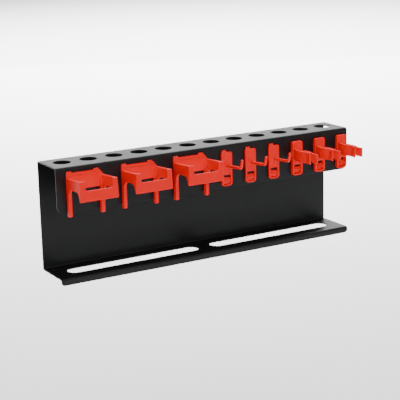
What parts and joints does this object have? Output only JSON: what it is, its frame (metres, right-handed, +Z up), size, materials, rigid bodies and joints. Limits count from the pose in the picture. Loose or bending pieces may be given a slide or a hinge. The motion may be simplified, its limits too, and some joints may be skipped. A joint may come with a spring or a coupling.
{
  "type": "wall tool rack with holders",
  "caption": "Folded sheet-steel wall rail with a row of round holes, a slotted shelf and hang-on red plastic holders, hooks and spring clips for hand tools.",
  "frame": {"origin": "centre of the flat back face that lies on the wall", "axes": "+X along the rail to the right as seen from the front, -Y out from the wall, +Z up"},
  "size_m": [0.4, 0.0905, 0.1363],
  "materials": {
    "rack_coating": "satin black powder coat, fine orange peel",
    "red_plastic": "moulded polypropylene, satin gloss"
  },
  "bodies": {
    "rack": {"folded_rack": "rack_coating"},
    "wide_holder_1": {"wide_holder_1": "red_plastic"},
    "wide_holder_2": {"wide_holder_2": "red_plastic"},
    "wide_holder_3": {"wide_holder_3": "red_plastic"},
    "hook_1": {"hook_carrier_1": "red_plastic"},
    "hook_catch_1": {"hook_catch_1": "red_plastic"},
    "hook_2": {"hook_carrier_2": "red_plastic"},
    "hook_catch_2": {"hook_catch_2": "red_plastic"},
    "hook_3": {"hook_carrier_3": "red_plastic"},
    "hook_catch_3": {"hook_catch_3": "red_plastic"},
    "clip_1": {"clip_carrier_1": "red_plastic"},
    "clip_catch_1": {"clip_catch_1": "red_plastic"},
    "clip_left_jaw_1": {"clip_left_jaw_1": "red_plastic"},
    "clip_right_jaw_1": {"clip_right_jaw_1": "red_plastic"},
    "clip_2": {"clip_carrier_2": "red_plastic"},
    "clip_catch_2": {"clip_catch_2": "red_plastic"},
    "clip_left_jaw_2": {"clip_left_jaw_2": "red_plastic"},
    "clip_right_jaw_2": {"clip_right_jaw_2": "red_plastic"},
    "clip_3": {"clip_carrier_3": "red_plastic"},
    "clip_catch_3": {"clip_catch_3": "red_plastic"},
    "clip_left_jaw_3": {"clip_left_jaw_3": "red_plastic"},
    "clip_right_jaw_3": {"clip_right_jaw_3": "red_plastic"}
  },
  "joints": [
    {"name": "wide_holder_1_lift", "type": "slide", "parent": "rack", "child": "wide_holder_1", "axis": [0, -0.766, 0.6428], "range_m": [0, 0.03]},
    {"name": "wide_holder_2_lift", "type": "slide", "parent": "rack", "child": "wide_holder_2", "axis": [0, -0.766, 0.6428], "range_m": [0, 0.03]},
    {"name": "wide_holder_3_lift", "type": "slide", "parent": "rack", "child": "wide_holder_3", "axis": [0, -0.766, 0.6428], "range_m": [0, 0.03]},
    {"name": "hook_1_lift", "type": "slide", "parent": "rack", "child": "hook_1", "axis": [0, -0.766, 0.6428], "range_m": [0, 0.03]},
    {"name": "hook_catch_1_flex", "type": "hinge", "parent": "hook_1", "child": "hook_catch_1", "pos_m": [0.0206, -0.05195, 0.0176], "axis": [1, 0, 0], "range_deg": [0, 10], "stiffness_Nm_per_rad": 0.05},
    {"name": "hook_2_lift", "type": "slide", "parent": "rack", "child": "hook_2", "axis": [0, -0.766, 0.6428], "range_m": [0, 0.03]},
    {"name": "hook_catch_2_flex", "type": "hinge", "parent": "hook_2", "child": "hook_catch_2", "pos_m": [0.05427, -0.05195, 0.0176], "axis": [1, 0, 0], "range_deg": [0, 10], "stiffness_Nm_per_rad": 0.05},
    {"name": "hook_3_lift", "type": "slide", "parent": "rack", "child": "hook_3", "axis": [0, -0.766, 0.6428], "range_m": [0, 0.03]},
    {"name": "hook_catch_3_flex", "type": "hinge", "parent": "hook_3", "child": "hook_catch_3", "pos_m": [0.08794, -0.05195, 0.0176], "axis": [1, 0, 0], "range_deg": [0, 10], "stiffness_Nm_per_rad": 0.05},
    {"name": "clip_1_lift", "type": "slide", "parent": "rack", "child": "clip_1", "axis": [0, -0.766, 0.6428], "range_m": [0, 0.03]},
    {"name": "clip_catch_1_flex", "type": "hinge", "parent": "clip_1", "child": "clip_catch_1", "pos_m": [0.12161, -0.05195, 0.0176], "axis": [1, 0, 0], "range_deg": [0, 10], "stiffness_Nm_per_rad": 0.05},
    {"name": "clip_left_jaw_1_flex", "type": "hinge", "parent": "clip_1", "child": "clip_left_jaw_1", "pos_m": [0.11661, -0.0574, 0.042], "axis": [0, 0, -1], "range_deg": [0, 8], "stiffness_Nm_per_rad": 0.2},
    {"name": "clip_right_jaw_1_flex", "type": "hinge", "parent": "clip_1", "child": "clip_right_jaw_1", "pos_m": [0.12661, -0.0574, 0.042], "axis": [0, 0, 1], "range_deg": [0, 8], "stiffness_Nm_per_rad": 0.2},
    {"name": "clip_2_lift", "type": "slide", "parent": "rack", "child": "clip_2", "axis": [0, -0.766, 0.6428], "range_m": [0, 0.03]},
    {"name": "clip_catch_2_flex", "type": "hinge", "parent": "clip_2", "child": "clip_catch_2", "pos_m": [0.15528, -0.05195, 0.0176], "axis": [1, 0, 0], "range_deg": [0, 10], "stiffness_Nm_per_rad": 0.05},
    {"name": "clip_left_jaw_2_flex", "type": "hinge", "parent": "clip_2", "child": "clip_left_jaw_2", "pos_m": [0.15028, -0.0574, 0.042], "axis": [0, 0, -1], "range_deg": [0, 8], "stiffness_Nm_per_rad": 0.2},
    {"name": "clip_right_jaw_2_flex", "type": "hinge", "parent": "clip_2", "child": "clip_right_jaw_2", "pos_m": [0.16028, -0.0574, 0.042], "axis": [0, 0, 1], "range_deg": [0, 8], "stiffness_Nm_per_rad": 0.2},
    {"name": "clip_3_lift", "type": "slide", "parent": "rack", "child": "clip_3", "axis": [0, -0.766, 0.6428], "range_m": [0, 0.03]},
    {"name": "clip_catch_3_flex", "type": "hinge", "parent": "clip_3", "child": "clip_catch_3", "pos_m": [0.18895, -0.05195, 0.0176], "axis": [1, 0, 0], "range_deg": [0, 10], "stiffness_Nm_per_rad": 0.05},
    {"name": "clip_left_jaw_3_flex", "type": "hinge", "parent": "clip_3", "child": "clip_left_jaw_3", "pos_m": [0.18395, -0.0574, 0.042], "axis": [0, 0, -1], "range_deg": [0, 8], "stiffness_Nm_per_rad": 0.2},
    {"name": "clip_right_jaw_3_flex", "type": "hinge", "parent": "clip_3", "child": "clip_right_jaw_3", "pos_m": [0.19395, -0.0574, 0.042], "axis": [0, 0, 1], "range_deg": [0, 8], "stiffness_Nm_per_rad": 0.2}
  ],
  "couplings": [
    {"joint": "clip_right_jaw_1_flex", "follows": "clip_left_jaw_1_flex", "ratio": 1},
    {"joint": "clip_right_jaw_2_flex", "follows": "clip_left_jaw_2_flex", "ratio": 1},
    {"joint": "clip_right_jaw_3_flex", "follows": "clip_left_jaw_3_flex", "ratio": 1}
  ]
}
